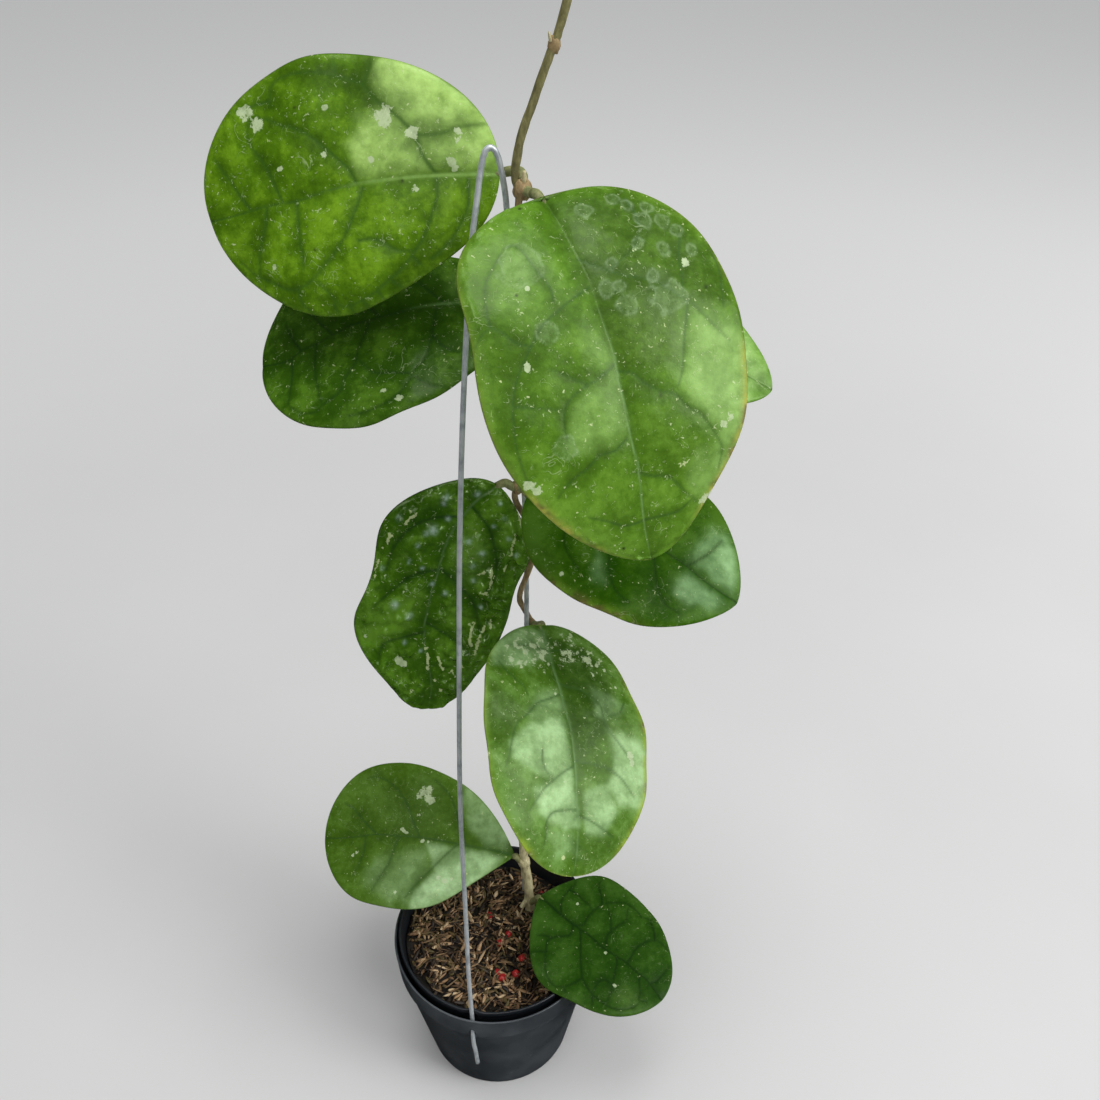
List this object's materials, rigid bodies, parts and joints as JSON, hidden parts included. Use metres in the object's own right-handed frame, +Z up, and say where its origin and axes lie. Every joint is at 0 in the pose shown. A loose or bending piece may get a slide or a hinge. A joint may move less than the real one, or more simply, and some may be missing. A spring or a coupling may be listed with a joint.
{
  "type": "potted hoya plant",
  "caption": "Potted hoya: a twining stem on a galvanised wire hoop, with broad leathery leaves, in nested black nursery pots.",
  "frame": {"origin": "centre of the outer pot's flat underside", "axes": "+Z up along the plant's height; -Y towards the front, where the wire's clean-cut end is; +X to the right as seen from the front"},
  "size_m": [0.1753, 0.1327, 0.4675],
  "materials": {
    "outer_pot": "matt black, a little dusty",
    "inner_pot": "smooth bluish black",
    "potting_mix": "loose tan and brown husk chips over dark crumbs",
    "wire": "bright galvanised",
    "stem": "corky beige at the foot, olive brown above",
    "leaf_bright": "glossy, bright green with darker net veins",
    "leaf_mid": "glossy mid green",
    "leaf_dark": "glossy dark green"
  },
  "bodies": {
    "root": {"outer_pot": "outer_pot", "inner_pot": "inner_pot", "potting_mix": "potting_mix", "wire_hoop": "wire", "stem": "stem", "leaf_top_left": "leaf_bright", "leaf_upper_left": "leaf_mid", "leaf_big_front": "leaf_mid", "leaf_upper_right": "leaf_bright", "leaf_crinkled_left": "leaf_dark", "leaf_middle_right": "leaf_dark", "leaf_lower_front": "leaf_mid", "leaf_low_left": "leaf_mid", "leaf_low_right": "leaf_dark"}
  },
  "joints": []
}
